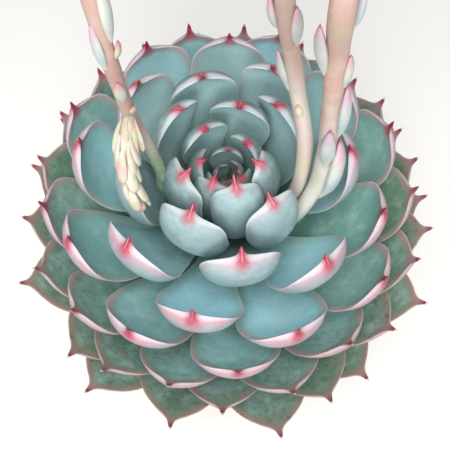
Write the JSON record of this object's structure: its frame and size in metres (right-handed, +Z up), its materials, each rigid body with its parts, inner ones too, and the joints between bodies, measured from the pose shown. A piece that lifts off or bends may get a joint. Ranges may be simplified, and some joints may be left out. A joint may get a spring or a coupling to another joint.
{
  "type": "potted echeveria succulent",
  "caption": "Potted rosette succulent: thick pointed grey-green leaves with pink rims and red tips in a dense spiral, leafy pink flower stalks, in a round clay pot with soil.",
  "frame": {"origin": "centre of the pot's flat underside", "axes": "+Z up along the stem; -Y towards the side that the picture is taken from; +X to its right"},
  "size_m": [0.1366, 0.1423, 0.2683],
  "materials": {
    "terracotta": "unglazed fired clay, matt, slightly chalky",
    "potting_soil": "dry gritty soil, matt",
    "stem_and_lowest_leaves": "fleshy leaf with a thin powdery bloom, matt",
    "heart_leaves": "pale fleshy leaf with a powdery bloom, crimson tips, matt",
    "inner_leaf": "pale blue-green fleshy leaf with a powdery bloom, pink rim and crimson tip",
    "middle_leaf": "blue-green fleshy leaf with a powdery bloom, pink rim and crimson tip",
    "outer_leaf": "grey-green mottled fleshy leaf, peach rim, dry pale point",
    "flower_stalk": "smooth cream to pink flesh, satin"
  },
  "bodies": {
    "root": {"pot": "terracotta", "soil": "potting_soil", "stem": "stem_and_lowest_leaves", "heart": "heart_leaves", "leaf_12": "inner_leaf", "leaf_13": "inner_leaf", "leaf_14": "inner_leaf", "leaf_15": "inner_leaf", "leaf_16": "inner_leaf", "leaf_17": "inner_leaf", "leaf_18": "inner_leaf", "leaf_19": "inner_leaf", "leaf_20": "inner_leaf", "leaf_21": "inner_leaf", "leaf_22": "inner_leaf", "leaf_23": "inner_leaf", "leaf_24": "middle_leaf", "leaf_25": "middle_leaf", "leaf_26": "middle_leaf", "leaf_27": "middle_leaf", "leaf_28": "middle_leaf", "leaf_29": "middle_leaf", "leaf_30": "middle_leaf", "leaf_31": "middle_leaf", "leaf_32": "middle_leaf", "leaf_33": "middle_leaf", "leaf_34": "middle_leaf", "leaf_35": "middle_leaf", "leaf_36": "middle_leaf", "leaf_37": "middle_leaf", "leaf_38": "middle_leaf", "leaf_39": "middle_leaf", "leaf_40": "middle_leaf", "leaf_41": "middle_leaf", "leaf_42": "middle_leaf", "leaf_43": "middle_leaf", "leaf_44": "outer_leaf", "leaf_45": "outer_leaf", "leaf_46": "outer_leaf", "leaf_47": "outer_leaf", "leaf_48": "outer_leaf", "leaf_49": "outer_leaf", "leaf_50": "outer_leaf", "leaf_51": "outer_leaf", "leaf_52": "outer_leaf", "leaf_53": "outer_leaf", "leaf_54": "outer_leaf", "leaf_55": "outer_leaf", "leaf_56": "outer_leaf", "leaf_57": "outer_leaf", "leaf_58": "outer_leaf", "leaf_59": "outer_leaf", "leaf_60": "outer_leaf", "leaf_61": "outer_leaf", "leaf_62": "outer_leaf", "leaf_63": "outer_leaf", "stalk_left": "flower_stalk", "stalk_middle": "flower_stalk", "stalk_right": "flower_stalk"}
  },
  "joints": []
}
